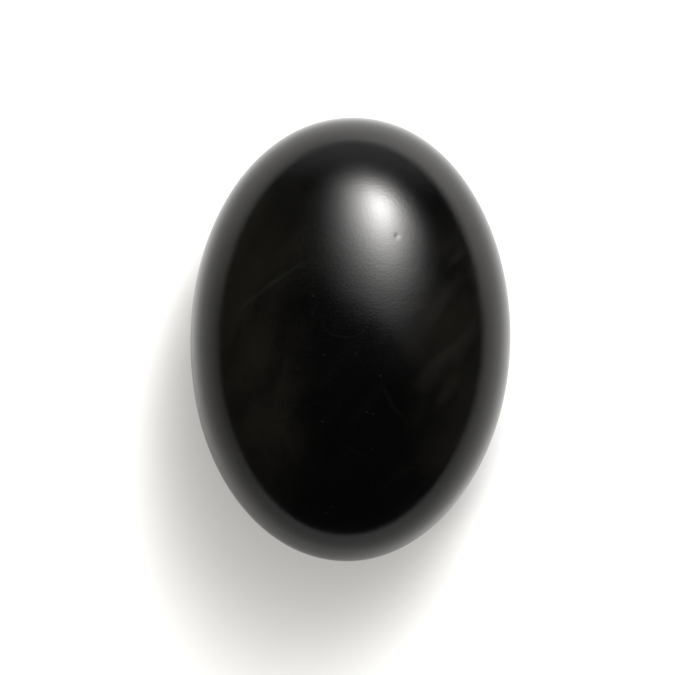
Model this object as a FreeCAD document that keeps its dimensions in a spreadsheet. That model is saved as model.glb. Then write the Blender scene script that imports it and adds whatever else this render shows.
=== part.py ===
import FreeCAD, Part
import os

import Sketcher
from FreeCAD import Vector

# A massage stone: one oval pebble of basalt, ground and polished all over, lying on its belly.
# +Z is up and +Y runs along the stone. The origin is the middle of the small flat that it rests on.
#
# The form starts as a blank turned about Z, whose half section is two conic arcs: one from the crown
# out to the rim, and one from the rim in to the belly. The blank is stretched along Y from a round
# plan to the oval one. A skim is taken off the belly, so that the stone stands still, and the edge of
# that flat is blended away.

SIZES = {
    "stone_length": 80.0,  # along Y
    "stone_width": 57.7,  # along X
    "crown_rise": 22.0,  # from the rim, the widest level, up to the crown
    "belly_drop": 20.4,  # from the rim down to the foot
    "crown_fullness": 0.90,  # weight of the upper arc: 0.707 makes an ellipse, and more is fuller
    "belly_fullness": 0.82,  # weight of the lower arc
    "foot_skim": 0.45,  # height taken off the belly
    "foot_blend": 14.0,  # radius between the foot and the belly
}
FLAT_ENOUGH = 1e-6  # an edge that rises less than this lies in one level

# How a sketch's constraints name a place: the ends and the centre of a curve, the origin and the axis.
START, END, CENTRE = 1, 2, 3
ORIGIN = (-1, START)
UPRIGHT_AXIS = -2


def make_sheet(doc):
    """The spreadsheet of driving dimensions, each with its alias."""
    sheet = doc.addObject("Spreadsheet::Sheet", "Sizes")
    for row, (name, value) in enumerate(SIZES.items(), start=1):
        sheet.set(f"A{row}", name)
        sheet.set(f"B{row}", str(value))
        sheet.setAlias(f"B{row}", name)
    doc.recompute()


def new_sketch(body, name, role):
    """An empty sketch on one of the body's own origin planes."""
    plane = next(feature for feature in body.Origin.OriginFeatures if feature.Role == role)
    sketch = body.newObject("Sketcher::SketchObject", name)
    sketch.AttachmentSupport = [(plane, "")]
    sketch.MapMode = "FlatFace"
    return sketch


def conic_arc(start, corner, end, weight):
    """A smooth arc from start to end, tangent at both to the lines that meet at the corner."""
    curve = Part.BSplineCurve()
    curve.buildFromPolesMultsKnots([start, corner, end], [3, 3], [0, 1], False, 2, [1, weight, 1])
    return curve


def bind(sketch, kind, name, where, expression):
    """A named dimension of the sketch that takes its value from the sheet."""
    index = sketch.addConstraint(Sketcher.Constraint(kind, *where))
    sketch.renameConstraint(index, name)
    sketch.setExpression(f"Constraints.{name}", expression)


def add_half_section(body):
    """The blank's half section: crown arc, belly arc, and the turning axis that closes them."""
    half_width = SIZES["stone_width"] / 2
    rim_level = SIZES["belly_drop"]
    crown_level = rim_level + SIZES["crown_rise"]
    skim = SIZES["foot_skim"]
    crown_weight = SIZES["crown_fullness"]
    belly_weight = SIZES["belly_fullness"]

    crown = Vector(0, crown_level, 0)
    crown_corner = Vector(half_width, crown_level, 0)
    rim = Vector(half_width, rim_level, 0)
    belly_corner = Vector(half_width, -skim, 0)
    belly = Vector(0, -skim, 0)

    sketch = new_sketch(body, "half_section", "XZ_Plane")
    upper = sketch.addGeometry(conic_arc(crown, crown_corner, rim, crown_weight), False)
    lower = sketch.addGeometry(conic_arc(rim, belly_corner, belly, belly_weight), False)
    axis = sketch.addGeometry(Part.LineSegment(belly, crown), False)

    # Each arc's poles become circles of the sketch, three to an arc, followed by its two end points.
    sketch.exposeInternalGeometry(upper)
    sketch.exposeInternalGeometry(lower)
    crown_pole, crown_corner_pole, rim_pole = (axis + step for step in (1, 2, 3))
    lower_rim_pole, belly_corner_pole, belly_pole = (axis + step for step in (6, 7, 8))

    for kind, *where in (
        ("PointOnObject", upper, START, UPRIGHT_AXIS),
        ("PointOnObject", lower, END, UPRIGHT_AXIS),
        ("Coincident", upper, END, lower, START),
        ("Coincident", lower, END, axis, START),
        ("Coincident", axis, END, upper, START),
        ("Horizontal", crown_pole, CENTRE, crown_corner_pole, CENTRE),
        ("Vertical", crown_corner_pole, CENTRE, rim_pole, CENTRE),
        ("Vertical", lower_rim_pole, CENTRE, belly_corner_pole, CENTRE),
        ("Horizontal", belly_corner_pole, CENTRE, belly_pole, CENTRE),
    ):
        sketch.addConstraint(Sketcher.Constraint(kind, *where))

    rim_at = (*ORIGIN, rim_pole, CENTRE)
    crown_at = (*ORIGIN, crown_pole, CENTRE)
    belly_at = (belly_pole, CENTRE, *ORIGIN)
    for kind, name, where, expression in (
        ("DistanceX", "half_width", (*rim_at, half_width), "Sizes.stone_width / 2"),
        ("DistanceY", "rim_level", (*rim_at, rim_level), "Sizes.belly_drop"),
        ("DistanceY", "crown_level", (*crown_at, crown_level), "Sizes.belly_drop + Sizes.crown_rise"),
        ("DistanceY", "foot_skim", (*belly_at, skim), "Sizes.foot_skim"),
        ("Weight", "crown_fullness", (crown_corner_pole, crown_weight), "Sizes.crown_fullness"),
        ("Weight", "belly_fullness", (belly_corner_pole, belly_weight), "Sizes.belly_fullness"),
    ):
        bind(sketch, kind, name, where, expression)
    return sketch


def make_turned_blank(doc):
    """The blank while it is still round in plan."""
    body = doc.addObject("PartDesign::Body", "turned_blank")
    half_section = add_half_section(body)
    turning = body.newObject("PartDesign::Revolution", "turning")
    turning.Profile = half_section
    turning.ReferenceAxis = (half_section, ["V_Axis"])
    turning.Angle = 360
    doc.recompute()
    return body


def make_oval_blank(doc, turned_blank):
    """The blank stretched along Y, which makes its plan an ellipse."""
    oval_blank = doc.addObject("Part::Scale", "oval_blank")
    oval_blank.Base = turned_blank
    oval_blank.Uniform = False
    oval_blank.setExpression("YScale", "Sizes.stone_length / Sizes.stone_width")
    doc.recompute()
    return oval_blank


def make_stone(doc, oval_blank):
    """The finished stone: the oval blank with its foot skimmed flat and blended into the belly."""
    body = doc.addObject("PartDesign::Body", "stone")
    body.BaseFeature = oval_blank
    doc.recompute()
    full_volume = body.Shape.Volume

    # The cut reaches past the stone all round, and runs down from the foot's level.
    reach = SIZES["stone_length"]
    foot_level = new_sketch(body, "foot_level", "XY_Plane")
    ring = foot_level.addGeometry(Part.Circle(Vector(0, 0, 0), Vector(0, 0, 1), reach), False)
    foot_level.addConstraint(Sketcher.Constraint("Coincident", ring, CENTRE, *ORIGIN))
    bind(foot_level, "Radius", "reach", (ring, reach), "Sizes.stone_length")
    foot_cut = body.newObject("PartDesign::Pocket", "foot_cut")
    foot_cut.Profile = foot_level
    foot_cut.setExpression("Length", "2 * Sizes.foot_skim")
    doc.recompute()
    cut_volume = body.Shape.Volume
    if not cut_volume < full_volume:
        raise RuntimeError("the foot cut took nothing off the belly")

    foot_edges = [
        f"Edge{number}"
        for number, edge in enumerate(foot_cut.Shape.Edges, start=1)
        if edge.BoundBox.ZLength < FLAT_ENOUGH and abs(edge.BoundBox.ZMin) < FLAT_ENOUGH
    ]
    foot_blend = body.newObject("PartDesign::Fillet", "foot_blend")
    foot_blend.Base = (foot_cut, foot_edges)
    foot_blend.setExpression("Radius", "Sizes.foot_blend")
    doc.recompute()
    if not body.Shape.Volume < cut_volume:
        raise RuntimeError("the foot blend took nothing off the edge")

    body.Label = "stone"
    return body


def export(doc, pieces):
    """Checks every object and every piece, then writes one STEP file for each piece."""
    for item in doc.Objects:
        if "Invalid" in item.State or "Error" in item.State:
            raise RuntimeError(f"{item.Name} did not recompute: {item.State}")
    for piece in pieces:
        if piece.Shape.isNull() or not piece.Shape.isValid():
            raise RuntimeError(f"{piece.Label} has no valid shape")
    os.makedirs("parts", exist_ok=True)
    for piece in pieces:
        piece.Shape.exportStep(f"parts/{piece.Label}.step")
        print(piece.Label, round(piece.Shape.Volume / 1000, 2), "cm3")


doc = FreeCAD.newDocument("massage_stone")
make_sheet(doc)
turned_blank = make_turned_blank(doc)
oval_blank = make_oval_blank(doc, turned_blank)
stone = make_stone(doc, oval_blank)
export(doc, [stone])
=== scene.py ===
import math

import bpy
from mathutils import Matrix, Vector, noise


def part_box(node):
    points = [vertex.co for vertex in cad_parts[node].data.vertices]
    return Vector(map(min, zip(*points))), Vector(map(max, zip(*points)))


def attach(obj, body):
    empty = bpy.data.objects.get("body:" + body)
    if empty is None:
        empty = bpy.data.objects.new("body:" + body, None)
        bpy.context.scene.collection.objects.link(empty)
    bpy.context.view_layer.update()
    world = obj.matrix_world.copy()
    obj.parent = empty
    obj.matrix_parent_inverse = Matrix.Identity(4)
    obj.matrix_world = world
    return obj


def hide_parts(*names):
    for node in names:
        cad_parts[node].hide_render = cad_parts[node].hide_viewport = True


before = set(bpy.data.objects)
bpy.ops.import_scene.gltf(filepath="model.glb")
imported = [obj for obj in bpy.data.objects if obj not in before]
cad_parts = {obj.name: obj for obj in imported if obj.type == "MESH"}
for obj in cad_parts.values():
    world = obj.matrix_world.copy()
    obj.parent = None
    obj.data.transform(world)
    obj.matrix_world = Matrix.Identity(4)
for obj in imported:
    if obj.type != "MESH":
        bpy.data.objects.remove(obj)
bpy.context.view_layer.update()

# ---------------------------------------------------------------------------------------------------
# The stone's form, in metres. Its length, width and height come from the CAD node. The rest repeats
# the design, two conic profiles that meet at the rim and a foot skimmed flat, and adds what hand and
# wheel leave on a real pebble: an outline that isn't quite an ellipse, slow waves and a few pits.

LOW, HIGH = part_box("stone")
HALF_WIDTH = (HIGH.x - LOW.x) / 2
HALF_LENGTH = (HIGH.y - LOW.y) / 2
CROWN_RISE = 0.0220  # from the rim up to the crown
FOOT_SKIM = 0.00045  # height skimmed off the belly
CROWN_FULLNESS = 0.90  # conic weight: 0.707 is an ellipse, more is fuller
BELLY_FULLNESS = 0.82
FOOT_BLEND = 0.0002  # height over which the belly runs into the foot
RIM_LEVEL = HIGH.z - CROWN_RISE
BELLY_DROP = RIM_LEVEL - LOW.z + FOOT_SKIM

# Where the outline swells past the ellipse or falls inside it: the direction and its spread in
# degrees, from +X towards +Y, and how far.
OUTLINE_SWELLS = (
    (135, 26, 0.00019),
    (237, 30, 0.00013),
    (90, 18, -0.00018),
    (186, 16, -0.00011),
    (308, 20, -0.00010),
)
# The surface's slow waves: the length of each and its height.
SLOW_WAVES = ((0.034, 0.00007), (0.012, 0.000012), (0.0036, 0.000003))
FOOT_CALM = 0.003  # the waves die out towards the foot over this height
# Pits in the crown: x, y, radius and depth.
PITS = (
    (0.0077, 0.0183, 0.00038, 0.000045),
    (0.0098, 0.0250, 0.00030, 0.000016),
    (0.0146, 0.0140, 0.00030, 0.000020),
    (0.0138, 0.0132, 0.00030, 0.000016),
    (-0.0060, -0.0125, 0.00036, 0.000030),
    (-0.0151, 0.0072, 0.00034, 0.000025),
    (0.0066, -0.0221, 0.00034, 0.000025),
)

CELLS = 128  # along each edge of the six-sided mesh
CROWDING = 0.35  # how much the cells crowd towards the crown, the side that is seen
CELL_CORNERS = ((0, 0), (1, 0), (1, 1), (0, 1))
CORNER_DIGITS = 9  # decimals to which two faces agree about a corner that they share


def conic_radius(out, up, weight):
    """How far a conic profile lies from its centre, towards the unit direction (out, up)."""
    lean = weight * (out - up)
    ratio = lean + math.sqrt(lean * lean + out * up)
    end_share = ratio / (ratio + up)
    start_share = 1 - end_share
    corner_part = 2 * weight * start_share * end_share
    total = start_share**2 + corner_part + end_share**2
    return math.hypot(corner_part + end_share**2, start_share**2 + corner_part) / total


def smooth_step(value):
    """0 below 0, 1 above 1, and a soft rise between."""
    value = min(max(value, 0.0), 1.0)
    return value * value * (3 - 2 * value)


def plain_point(direction):
    """The point of the designed surface that a direction of the unit sphere stands for."""
    out = math.hypot(direction.x, direction.y)
    if direction.z >= 0:
        reach = conic_radius(out, direction.z, CROWN_FULLNESS)
        z = RIM_LEVEL + CROWN_RISE * reach * direction.z
    else:
        reach = conic_radius(out, -direction.z, BELLY_FULLNESS)
        z = RIM_LEVEL + BELLY_DROP * reach * direction.z
    z -= LOW.z
    if z < FOOT_BLEND:
        z = (z + FOOT_BLEND) ** 2 / (4 * FOOT_BLEND) if z > -FOOT_BLEND else 0.0
    return Vector((HALF_WIDTH * reach * direction.x, HALF_LENGTH * reach * direction.y, z + LOW.z))


def outline_swell(direction):
    """How far the outline stands out past the ellipse in this direction."""
    around = math.degrees(math.atan2(direction.y, direction.x))
    total = 0.0
    for middle, spread, height in OUTLINE_SWELLS:
        away = (around - middle + 180) % 360 - 180
        total += height * math.exp(-((away / spread) ** 2))
    return total


def pit_depth(point):
    """How deep the pits are here, all together."""
    return sum(
        depth * math.exp(-((point.x - x) ** 2 + (point.y - y) ** 2) / radius**2)
        for x, y, radius, depth in PITS
    )


def stone_point(direction):
    """The designed point, moved by the outline's swells, the slow waves and the pits."""
    point = plain_point(direction)
    sideways = Vector((direction.x, direction.y, 0))
    outward = Vector(
        (direction.x / HALF_WIDTH, direction.y / HALF_LENGTH, direction.z / CROWN_RISE)
    ).normalized()
    wave = sum(height * (noise.noise(point / length) - 1) for length, height in SLOW_WAVES)
    wave *= smooth_step((point.z - LOW.z) / FOOT_CALM)
    moved = point + sideways * outline_swell(direction) + outward * wave
    if direction.z > 0:
        moved.z -= pit_depth(point)
    return moved


def quad_sphere(cells):
    """Unit directions and quads of a cube swollen to a sphere, crowded towards +Z."""
    index, directions, quads = {}, [], []
    steps = [math.tan(math.pi / 4 * (2 * i / cells - 1)) for i in range(cells + 1)]

    def corner(axis, side, i, j):
        """The number of a corner of one of the cube's faces, made when it is first asked for."""
        point = [0.0, 0.0, 0.0]
        point[axis] = float(side)
        point[(axis + 1) % 3] = steps[i] * side
        point[(axis + 2) % 3] = steps[j]
        key = tuple(round(v, CORNER_DIGITS) for v in point)
        if key not in index:
            index[key] = len(directions)
            raised = Vector(point).normalized() + Vector((0, 0, CROWDING))
            directions.append(raised.normalized())
        return index[key]

    for axis in range(3):
        for side in (-1, 1):
            for i in range(cells):
                for j in range(cells):
                    quads.append([corner(axis, side, i + di, j + dj) for di, dj in CELL_CORNERS])
    return directions, quads


def make_stone():
    """The whole stone as one closed, smoothly shaded mesh."""
    directions, quads = quad_sphere(CELLS)
    mesh = bpy.data.meshes.new("polished_stone")
    mesh.from_pydata([stone_point(direction) for direction in directions], [], quads)
    mesh.update()
    mesh.polygons.foreach_set("use_smooth", [True] * len(mesh.polygons))
    mesh.materials.append(basalt())
    stone = bpy.data.objects.new("polished_stone", mesh)
    bpy.context.scene.collection.objects.link(stone)
    return stone


# ---------------------------------------------------------------------------------------------------
# The basalt. Places and sizes are in metres, in the shared frame; directions are in degrees from +X
# towards +Y. A noise runs from 0 to 1, and a pair of LEVELS says between which values something comes in.
# A SHIFT reads another part of the same noise.

NOISE_MIDDLE = 0.5
# Painted reflection: the grey along the middle is darker than the olive towards the sides. It stands in
# for the dark room that the middle of the crown mirrors, not for a tone of the stone.
PAINTED_REFLECTION_GREY = (0.0004, 0.0004, 0.0005, 1)  # along the middle of the stone
DARK = (0.0002, 0.0002, 0.0002, 1)  # mineral grain and smoke
OLIVE = (0.0047, 0.0045, 0.0034, 1)  # towards the sides
BROWN = (0.0072, 0.0061, 0.0053, 1)  # wisps
PALE = (0.0060, 0.0060, 0.0052, 1)  # veins and crystals

BAND_MIDDLE = 0.0035  # x of the grey band's middle
BAND_EDGE = (0.005, 0.020)  # how far from there grey starts to turn olive, and how far it has
BAND_CLOUDS = 0.016
BAND_DRIFT = 0.030  # how far the clouds move the band's edge
GRAIN_SIZE = 0.0004
GRAIN_LEVELS = (0.30, 0.70)
GRAIN_DEPTH = 0.40
SMOKE_DIRECTION, SMOKE_STRETCH = 62, 2.2
SMOKE_SIZE = 0.006
SMOKE_LEVELS = (0.34, 0.66)
SMOKE_DEPTH = 0.42

WISP_DIRECTION, WISP_STRETCH = 47, 5.0
WISP_SIZE = 0.0026
WISP_LEVELS = (0.40, 0.75)
WISP_PATCH_SHIFT = (0.011, 0, 0)
WISP_PATCH_SIZE = 0.016
WISP_PATCH_LEVELS = (0.34, 0.58)
WISP_REACH = (0.006, 0.020)  # x at which the wisps start to show more, and at which they show in full
WISPS_LEFT = 0.08  # their share on the left

ARC_MIDDLE = (0.0003, -0.0104)
ARC_RADIUS = 0.0242
ARC_HALF_WIDTH = 0.0006
ARC_WANDER = 0.004
ARC_WANDER_SIZE = 0.006
ARC_ENDS = (1.24, 1.36)  # rise less run, in radii, at which the arc comes in
ARC_FADE = 0.004  # it fades out downwards over this height above the rim

VEIN_SIZE = 0.019
VEIN_LEVEL = 0.53
VEIN_HALF_WIDTH = 0.010  # as a difference of level
VEIN_BREAK_SHIFT = (0.013, 0.02, 0)
VEIN_BREAK_SIZE = 0.011
VEIN_BREAK_LEVELS = (0.48, 0.66)
VEIN_FAINTNESS = 0.3
VEIN_STRENGTH = 0.6

CRYSTAL_CELLS = 900.0  # to the metre
CRYSTAL_REACH = (0.24, 0.10)  # where a crystal ends and where it is full, in cells from its middle
CRYSTAL_LEVELS = (0.88, 0.97)

POLISH_PATCH_SIZE, POLISH_PATCH_SHARE = 0.007, 0.55
POLISH_GRAIN_SIZE, POLISH_GRAIN_SHARE = 0.0004, 0.45
POLISH_LEVELS = (0.25, 0.75)
SMOOTHEST, ROUGHEST = 0.125, 0.195
REFRACTION = 1.42

PEEL_SIZE, PEEL_HEIGHT = 0.00036, 8.5  # heights of relief are in micrometres
DIMPLE_SIZE, DIMPLE_HEIGHT = 0.0011, 2.5
LINE_SIZE, LINE_HEIGHT = 0.0005, 4.0
LINE_DIRECTION, LINE_STRETCH = 4, 6.0
MICROMETRE = 1e-6


class Graph:
    """A node tree with short ways to add and join nodes."""

    def __init__(self, tree):
        self.tree = tree

    def join(self, value, socket):
        """Links another node's socket, or sets a plain value."""
        if isinstance(value, bpy.types.NodeSocket):
            self.tree.links.new(value, socket)
        else:
            socket.default_value = value

    def node(self, kind, inputs, **settings):
        """Adds a node, with its settings first and then its inputs."""
        made = self.tree.nodes.new("ShaderNode" + kind)
        for name, value in settings.items():
            setattr(made, name, value)
        for name, value in inputs.items():
            self.join(value, made.inputs[name])
        return made

    def math(self, operation, *values):
        """The result of a Math node."""
        return self.node("Math", dict(enumerate(values)), operation=operation).outputs[0]

    def add(self, a, b):
        return self.math("ADD", a, b)

    def subtract(self, a, b):
        return self.math("SUBTRACT", a, b)

    def times(self, a, b):
        return self.math("MULTIPLY", a, b)

    def ramp(self, value, start, end, low=0.0, high=1.0):
        """A soft rise from low at start to high at end."""
        inputs = {"Value": value, "From Min": start, "From Max": end, "To Min": low, "To Max": high}
        return self.node("MapRange", inputs, interpolation_type="SMOOTHSTEP").outputs[0]

    def mix(self, amount, colour_a, colour_b):
        """From colour a at 0 to colour b at 1."""
        inputs = {"Factor": amount, "A": colour_a, "B": colour_b}
        return self.node("Mix", inputs, data_type="RGBA").outputs["Result"]

    def place(self):
        """Where a point lies in its object's own frame."""
        return self.node("TexCoord", {}).outputs["Object"]

    def parts(self, vector):
        """The X, Y and Z of a vector."""
        return self.node("SeparateXYZ", {0: vector}).outputs

    def clouds(self, place, size, detail=2.0):
        """Soft noise from 0 to 1 in lumps of about this size, with detail layers of finer ones."""
        inputs = {"Vector": place, "Scale": 1 / size, "Detail": detail}
        return self.node("TexNoise", inputs).outputs[0]

    def shifted(self, place, offset):
        """Places moved by an offset."""
        return self.node("VectorMath", {0: place, 1: offset}, operation="ADD").outputs[0]

    def streaked(self, place, direction, stretch):
        """Places turned so that X runs in this direction, in degrees from +X, and stretched along it."""
        turned = self.node("Mapping", {"Vector": place, "Rotation": (0, 0, math.radians(-direction))})
        return self.node("Mapping", {"Vector": turned.outputs[0], "Scale": (1 / stretch, 1, 1)}).outputs[0]


def tone_with_painted_band(graph, place):
    """Painted reflection: a darker grey band down the middle, olive towards the sides; both darkened by
    mineral grain and smoke.
    """
    across = graph.subtract(graph.parts(place)["X"], BAND_MIDDLE)
    unsteady = graph.subtract(graph.clouds(place, BAND_CLOUDS, detail=3.0), NOISE_MIDDLE)
    drift = graph.times(unsteady, BAND_DRIFT)
    side = graph.ramp(graph.add(graph.math("ABSOLUTE", across), drift), *BAND_EDGE)
    grain = graph.ramp(graph.clouds(place, GRAIN_SIZE, detail=3.0), *GRAIN_LEVELS, GRAIN_DEPTH, 0.0)
    slanted = graph.streaked(place, SMOKE_DIRECTION, SMOKE_STRETCH)
    smoke = graph.ramp(graph.clouds(slanted, SMOKE_SIZE, detail=3.0), *SMOKE_LEVELS, SMOKE_DEPTH, 0.0)
    return graph.mix(graph.add(grain, smoke), graph.mix(side, PAINTED_REFLECTION_GREY, OLIVE), DARK)


def wisps(graph, place):
    """Brown wisps that run slantwise, mostly over the right-hand half."""
    slanted = graph.streaked(place, WISP_DIRECTION, WISP_STRETCH)
    streaks = graph.ramp(graph.clouds(slanted, WISP_SIZE, detail=4.0), *WISP_LEVELS)
    elsewhere = graph.shifted(place, WISP_PATCH_SHIFT)
    patches = graph.ramp(graph.clouds(elsewhere, WISP_PATCH_SIZE, detail=1.0), *WISP_PATCH_LEVELS)
    right = graph.ramp(graph.parts(place)["X"], *WISP_REACH, WISPS_LEFT, 1.0)
    return graph.times(graph.times(streaks, patches), right)


def arc_vein(graph, place):
    """The one vein that shows: a thin pale arc on the left of the crown."""
    unsteady = graph.subtract(graph.clouds(place, ARC_WANDER_SIZE), NOISE_MIDDLE)
    wander = graph.times(unsteady, ARC_WANDER)
    spot = graph.parts(place)
    run = graph.subtract(spot["X"], ARC_MIDDLE[0])
    rise = graph.subtract(spot["Y"], ARC_MIDDLE[1])
    away = graph.math("SQRT", graph.add(graph.times(run, run), graph.times(rise, rise)))
    gap = graph.math("ABSOLUTE", graph.add(graph.subtract(away, ARC_RADIUS), wander))
    line = graph.ramp(gap, ARC_HALF_WIDTH, 0.0)
    start, end = ARC_ENDS
    upper_left = graph.ramp(graph.subtract(rise, run), start * ARC_RADIUS, end * ARC_RADIUS)
    on_top = graph.ramp(spot["Z"], RIM_LEVEL, RIM_LEVEL + ARC_FADE)
    return graph.times(graph.times(line, upper_left), on_top)


def faint_veins(graph, place):
    """Long thin lines where a slow noise crosses one level, broken up by another noise."""
    gap = graph.math("ABSOLUTE", graph.subtract(graph.clouds(place, VEIN_SIZE, detail=1.0), VEIN_LEVEL))
    line = graph.ramp(gap, VEIN_HALF_WIDTH, 0.0)
    elsewhere = graph.shifted(place, VEIN_BREAK_SHIFT)
    present = graph.ramp(graph.clouds(elsewhere, VEIN_BREAK_SIZE), *VEIN_BREAK_LEVELS)
    return graph.times(line, present)


def crystals(graph, place):
    """Tiny pale crystals, a few to the square centimetre."""
    cells = graph.node("TexVoronoi", {"Vector": place, "Scale": CRYSTAL_CELLS, "Randomness": 1.0})
    speck = graph.ramp(cells.outputs["Distance"], *CRYSTAL_REACH)
    chosen = graph.ramp(graph.parts(cells.outputs["Color"])["X"], *CRYSTAL_LEVELS)
    return graph.times(speck, chosen)


def stone_colour(graph, place):
    """Every tone of the stone, one over the other."""
    veins = graph.math(
        "MAXIMUM", arc_vein(graph, place), graph.times(faint_veins(graph, place), VEIN_FAINTNESS)
    )
    pale = graph.math("MAXIMUM", graph.times(veins, VEIN_STRENGTH), crystals(graph, place))
    colour = graph.mix(wisps(graph, place), tone_with_painted_band(graph, place), BROWN)
    return graph.mix(pale, colour, PALE)


def polish(graph, place):
    """The roughness, uneven in wide patches and from grain to grain."""
    patches = graph.times(graph.clouds(place, POLISH_PATCH_SIZE, detail=4.0), POLISH_PATCH_SHARE)
    grains = graph.times(graph.clouds(place, POLISH_GRAIN_SIZE, detail=1.0), POLISH_GRAIN_SHARE)
    return graph.ramp(graph.add(patches, grains), *POLISH_LEVELS, SMOOTHEST, ROUGHEST)


def relief(graph, place):
    """The polished skin's fine relief, in micrometres: orange peel, dimples and polishing lines."""
    peel = graph.times(graph.clouds(place, PEEL_SIZE, detail=1.0), PEEL_HEIGHT)
    dimples = graph.times(graph.clouds(place, DIMPLE_SIZE, detail=1.0), DIMPLE_HEIGHT)
    along_lines = graph.streaked(place, LINE_DIRECTION, LINE_STRETCH)
    lines = graph.times(graph.clouds(along_lines, LINE_SIZE, detail=1.0), LINE_HEIGHT)
    return graph.add(graph.add(peel, dimples), lines)


def basalt():
    """Near-black polished basalt."""
    material = bpy.data.materials.new("basalt")
    material.use_nodes = True
    graph = Graph(material.node_tree)
    place = graph.place()
    bump = graph.node("Bump", {"Height": relief(graph, place), "Strength": 1.0, "Distance": MICROMETRE})
    shader = material.node_tree.nodes["Principled BSDF"]
    shader.inputs["IOR"].default_value = REFRACTION
    graph.join(stone_colour(graph, place), shader.inputs["Base Color"])
    graph.join(polish(graph, place), shader.inputs["Roughness"])
    graph.join(bump.outputs[0], shader.inputs["Normal"])
    return material


# ---------------------------------------------------------------------------------------------------
# The studio: a pale floor, a graded softbox close by, two soft fills that the polish doesn't mirror,
# and a room that is pale to the camera and dark to the stone, but for a wall ahead. The floor carries
# painted light and shade for the stone to mirror: it is mirrored darker than the camera sees it, lit
# towards the softbox and shaded behind, and brighter only close by and, by a painted glow, far ahead
# and behind. To the camera its far part has a painted glow too.

FLOOR_RADIUS = 1.0
FLOOR_CORNERS = 128
PAPER = (0.85, 0.85, 0.85, 1)
PAPER_ROUGHNESS = 0.9
WHITE = (1, 1, 1, 1)
# Painted light: the far floor glows to the camera, though no lamp lights it there.
SEEN_GLOW_RISE = (0.12, 0.50)  # the far floor's glow to the camera: distances, and its strength
SEEN_GLOW = 0.25

# Painted light and shade: the floor's tone as the stone mirrors it, as shares of PAPER, lighter close by
# on the lit side, ahead and to the right, darker behind and to the left. Distances are from the middle
# of the stone.
NEAR_DISTANCES = (0.042, 0.072)
NEAR_TONE_IN_SHADE, NEAR_TONE_IN_LIGHT = 1.02, 1.20
NEAR_LIGHT_RISE = (-0.03, 0.0)  # Y at which the first turns into the second
MIDDLE_TONE = 0.90
FAR_DISTANCES = (0.07, 0.11)
FAR_TONE = 0.91
ACROSS = (-0.06, 0.06)  # X from the left tone to the right one
LEFT_TONE, RIGHT_TONE = 0.86, 1.03
AHEAD = (0.02, 0.10)  # Y from the tone behind to the tone ahead
BEHIND_TONE, AHEAD_TONE = 0.74, 1.05
# Painted light: the floor glows where the stone mirrors it far ahead and behind, though no lamp lights it
# there.
MIRRORED_GLOW_RISE = (0.10, 0.35)  # of Y, either way
MIRRORED_GLOW = 0.40

KEY_AZIMUTH, KEY_HEIGHT = 21, 47  # degrees from +Y towards +X, and above the floor
KEY_FAR = 0.30  # from the stone to the softbox
KEY_STRENGTH = 39.0
KEY_COLOUR = (1.0, 0.99, 0.975, 1)
GLOW_LEAN = 0.19  # how far the glow leans to the right for each step that it rises
GLOW_FLATNESS = 1.5  # how wide the glow stays even before it starts to fall off
# The rest of the softbox is in units of KEY_FAR.
KEY_HALF_SIZE = 0.80
GLOW_MIDDLE = (-0.03, -0.025)
GLOW_WIDTH = 0.094
GLOW_ABOVE = 0.141
GLOW_BELOW = 0.070
GLOW_END = (0.62, 0.78)  # the heights between which it dies out

FILL_COLOUR = (1.0, 0.98, 0.945)
# Azimuth and height in degrees, strength, and how many degrees of sky each fill takes.
FILLS = ((240, 40, 1.48, 37), (0, 90, 1.08, 80))

ROOM = (0.03, 0.03, 0.03, 1)
WALL = (0.62, 0.62, 0.62, 1)
SEEN_ROOM = (0.8, 0.8, 0.8, 1)
WALL_AZIMUTH = 3
WALL_SPREAD = (0.66, 1.0)  # cosines of the angle from that azimuth, from no wall to all of it
WALL_TOP = (0.66, 0.15)  # sines of the height, from no wall to all of it


def towards(azimuth, elevation):
    """Unit vector; azimuth in degrees from +Y towards +X."""
    a, e = math.radians(azimuth), math.radians(elevation)
    return Vector((math.sin(a) * math.cos(e), math.cos(a) * math.cos(e), math.sin(e)))


def mirrored_painted_light(graph, spot, far):
    """Painted light and shade in the floor's tone as the stone mirrors it: lit near the stone on its lit
    side, ahead and to the right, shaded behind and to the left.
    """
    near = graph.ramp(spot["Y"], *NEAR_LIGHT_RISE, NEAR_TONE_IN_SHADE, NEAR_TONE_IN_LIGHT)
    inner = graph.ramp(far, *NEAR_DISTANCES, near, MIDDLE_TONE)
    outer = graph.ramp(far, *FAR_DISTANCES, 1.0, FAR_TONE)
    sideways = graph.ramp(spot["X"], *ACROSS, LEFT_TONE, RIGHT_TONE)
    ahead = graph.ramp(spot["Y"], *AHEAD, BEHIND_TONE, AHEAD_TONE)
    share = graph.times(graph.times(inner, outer), graph.times(sideways, ahead))
    return graph.times(share, PAPER[0])


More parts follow.
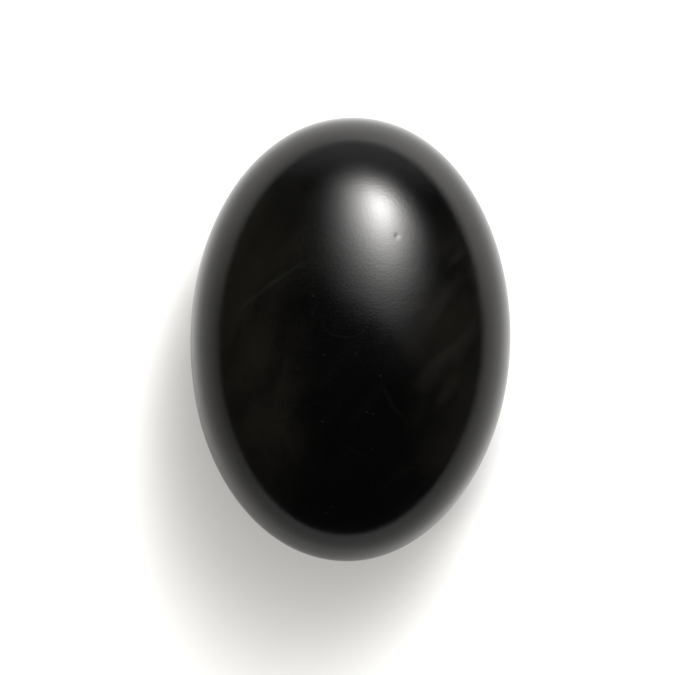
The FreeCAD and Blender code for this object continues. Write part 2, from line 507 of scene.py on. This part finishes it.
def paper():
    """Pale paper, with its own tones for the camera and for the polish: a painted glow far off for the
    camera, and painted light, shade and glow where the polish mirrors it.
    """
    material = bpy.data.materials.new("paper")
    material.use_nodes = True
    graph = Graph(material.node_tree)
    place = graph.place()
    spot = graph.parts(place)
    far = graph.node("VectorMath", {0: place}, operation="LENGTH").outputs["Value"]
    rays = graph.node("LightPath", {}).outputs
    # Painted light and shade: the polish mirrors the floor with its own lit and shaded tones.
    colour = graph.mix(rays["Is Glossy Ray"], PAPER, mirrored_painted_light(graph, spot, far))
    # Painted light: the paper glows far off to the camera, and far ahead and behind where the stone
    # mirrors it.
    seen_glow = graph.times(rays["Is Camera Ray"], graph.ramp(far, *SEEN_GLOW_RISE, 0.0, SEEN_GLOW))
    along = graph.math("ABSOLUTE", spot["Y"])
    mirrored_glow = graph.ramp(along, *MIRRORED_GLOW_RISE, 0.0, MIRRORED_GLOW)
    mirrored_glow = graph.times(rays["Is Glossy Ray"], mirrored_glow)
    shader = material.node_tree.nodes["Principled BSDF"]
    graph.join(colour, shader.inputs["Base Color"])
    graph.join(graph.add(seen_glow, mirrored_glow), shader.inputs["Emission Strength"])
    shader.inputs["Emission Color"].default_value = WHITE
    shader.inputs["Roughness"].default_value = PAPER_ROUGHNESS
    shader.inputs["Specular IOR Level"].default_value = 0.0
    return material


def make_floor():
    """A round sheet of paper under the stone."""
    turns = [2 * math.pi * i / FLOOR_CORNERS for i in range(FLOOR_CORNERS)]
    ring = [(FLOOR_RADIUS * math.cos(turn), FLOOR_RADIUS * math.sin(turn), LOW.z) for turn in turns]
    mesh = bpy.data.meshes.new("floor")
    mesh.from_pydata(ring, [], [tuple(range(FLOOR_CORNERS))])
    mesh.materials.append(paper())
    floor = bpy.data.objects.new("floor", mesh)
    bpy.context.scene.collection.objects.link(floor)


def glow_shape(graph, spot):
    """The softbox's light: even in the middle, then falling off slower upwards than downwards."""
    rise = graph.subtract(spot["Y"], GLOW_MIDDLE[1] * KEY_FAR)
    run = graph.subtract(spot["X"], GLOW_MIDDLE[0] * KEY_FAR)
    run = graph.subtract(run, graph.times(rise, GLOW_LEAN))
    run = graph.math("DIVIDE", run, GLOW_WIDTH * KEY_FAR)
    above = graph.math("DIVIDE", graph.math("MAXIMUM", rise, 0.0), GLOW_ABOVE * KEY_FAR)
    below = graph.math("DIVIDE", graph.math("MINIMUM", rise, 0.0), GLOW_BELOW * KEY_FAR)
    rise = graph.add(above, below)
    squares = graph.add(graph.times(run, run), graph.times(rise, rise))
    away = graph.math("SQRT", graph.add(squares, GLOW_FLATNESS**2))
    light = graph.math("EXPONENT", graph.subtract(GLOW_FLATNESS, away))
    start, end = GLOW_END
    return graph.times(light, graph.ramp(spot["Y"], end * KEY_FAR, start * KEY_FAR))


def key_glow():
    """Light from the softbox's front only; rays pass through it, so it hides nothing."""
    material = bpy.data.materials.new("key_glow")
    material.use_nodes = True
    material.node_tree.nodes.clear()
    graph = Graph(material.node_tree)
    light = glow_shape(graph, graph.parts(graph.place()))
    front = graph.subtract(1.0, graph.node("NewGeometry", {}).outputs["Backfacing"])
    strength = graph.times(graph.times(light, front), KEY_STRENGTH)
    emission = graph.node("Emission", {"Color": KEY_COLOUR, "Strength": strength})
    clear = graph.node("BsdfTransparent", {})
    both = graph.node("AddShader", {0: emission.outputs[0], 1: clear.outputs[0]})
    graph.node("OutputMaterial", {"Surface": both.outputs[0]})
    return material


def make_key():
    """A square softbox that faces the stone, unseen by the camera."""
    away = towards(KEY_AZIMUTH, KEY_HEIGHT)
    right = away.cross(Vector((0, 0, 1))).normalized()
    up = right.cross(away)
    centre = away * KEY_FAR + Vector((0, 0, RIM_LEVEL))
    half = KEY_HALF_SIZE * KEY_FAR
    corners = [(-half, -half, 0), (half, -half, 0), (half, half, 0), (-half, half, 0)]
    mesh = bpy.data.meshes.new("softbox")
    mesh.from_pydata(corners, [], [(0, 1, 2, 3)])
    mesh.materials.append(key_glow())
    softbox = bpy.data.objects.new("softbox", mesh)
    bpy.context.scene.collection.objects.link(softbox)
    turn = Matrix((right, up, -away)).transposed()
    softbox.matrix_world = Matrix.Translation(centre) @ turn.to_4x4()
    softbox.visible_camera = False
    softbox.visible_shadow = False


def make_fill(azimuth, height, strength, width):
    """A wide soft light; the polish doesn't mirror it."""
    data = bpy.data.lights.new("fill", "SUN")
    data.energy = strength
    data.angle = math.radians(width)
    data.color = FILL_COLOUR
    fill = bpy.data.objects.new("fill", data)
    bpy.context.scene.collection.objects.link(fill)
    fill.rotation_euler = (-towards(azimuth, height)).to_track_quat("-Z", "Y").to_euler()
    fill.visible_glossy = False


def make_world():
    """Pale to the camera; to the stone a dark room with a soft wall beyond the floor."""
    world = bpy.data.worlds.new("studio")
    bpy.context.scene.world = world
    world.use_nodes = True
    graph = Graph(world.node_tree)
    direction = graph.node("TexCoord", {}).outputs["Generated"]
    turned = {0: direction, 1: towards(WALL_AZIMUTH, 0)}
    facing = graph.node("VectorMath", turned, operation="DOT_PRODUCT").outputs["Value"]
    ahead = graph.ramp(facing, *WALL_SPREAD)
    low = graph.ramp(graph.parts(direction)["Z"], *WALL_TOP)
    room = graph.mix(graph.times(ahead, low), ROOM, WALL)
    seen = graph.node("LightPath", {}).outputs["Is Camera Ray"]
    background = world.node_tree.nodes["Background"]
    graph.join(graph.mix(seen, room, SEEN_ROOM), background.inputs["Color"])


# ---------------------------------------------------------------------------------------------------
# The camera looks straight down. The photograph is cropped with the stone off its middle, and the
# camera is shifted to match, by shares of the picture's width.

CAMERA_FAR = 0.9  # from the rim's level up to the camera
FIELD = 0.12120  # width of the picture at the rim's level
SENSOR = 36  # millimetres
CAMERA_ROLL = 1.64  # degrees
STONE_RIGHT = 0.01896
STONE_DOWN = 0.00207


def make_camera():
    """The camera, straight above the stone and rolled a little."""
    data = bpy.data.cameras.new("camera")
    data.sensor_width = SENSOR
    data.lens = SENSOR * CAMERA_FAR / FIELD
    data.shift_x = -STONE_RIGHT
    data.shift_y = STONE_DOWN
    camera = bpy.data.objects.new("camera", data)
    bpy.context.scene.collection.objects.link(camera)
    camera.rotation_euler = (0, 0, math.radians(CAMERA_ROLL))
    camera.location = (0, 0, RIM_LEVEL + CAMERA_FAR)
    bpy.context.scene.camera = camera


bpy.context.scene.view_settings.view_transform = "Standard"

stone = make_stone()
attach(stone, "root")
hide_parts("stone")

make_floor()
make_key()
for fill in FILLS:
    make_fill(*fill)
make_world()
make_camera()
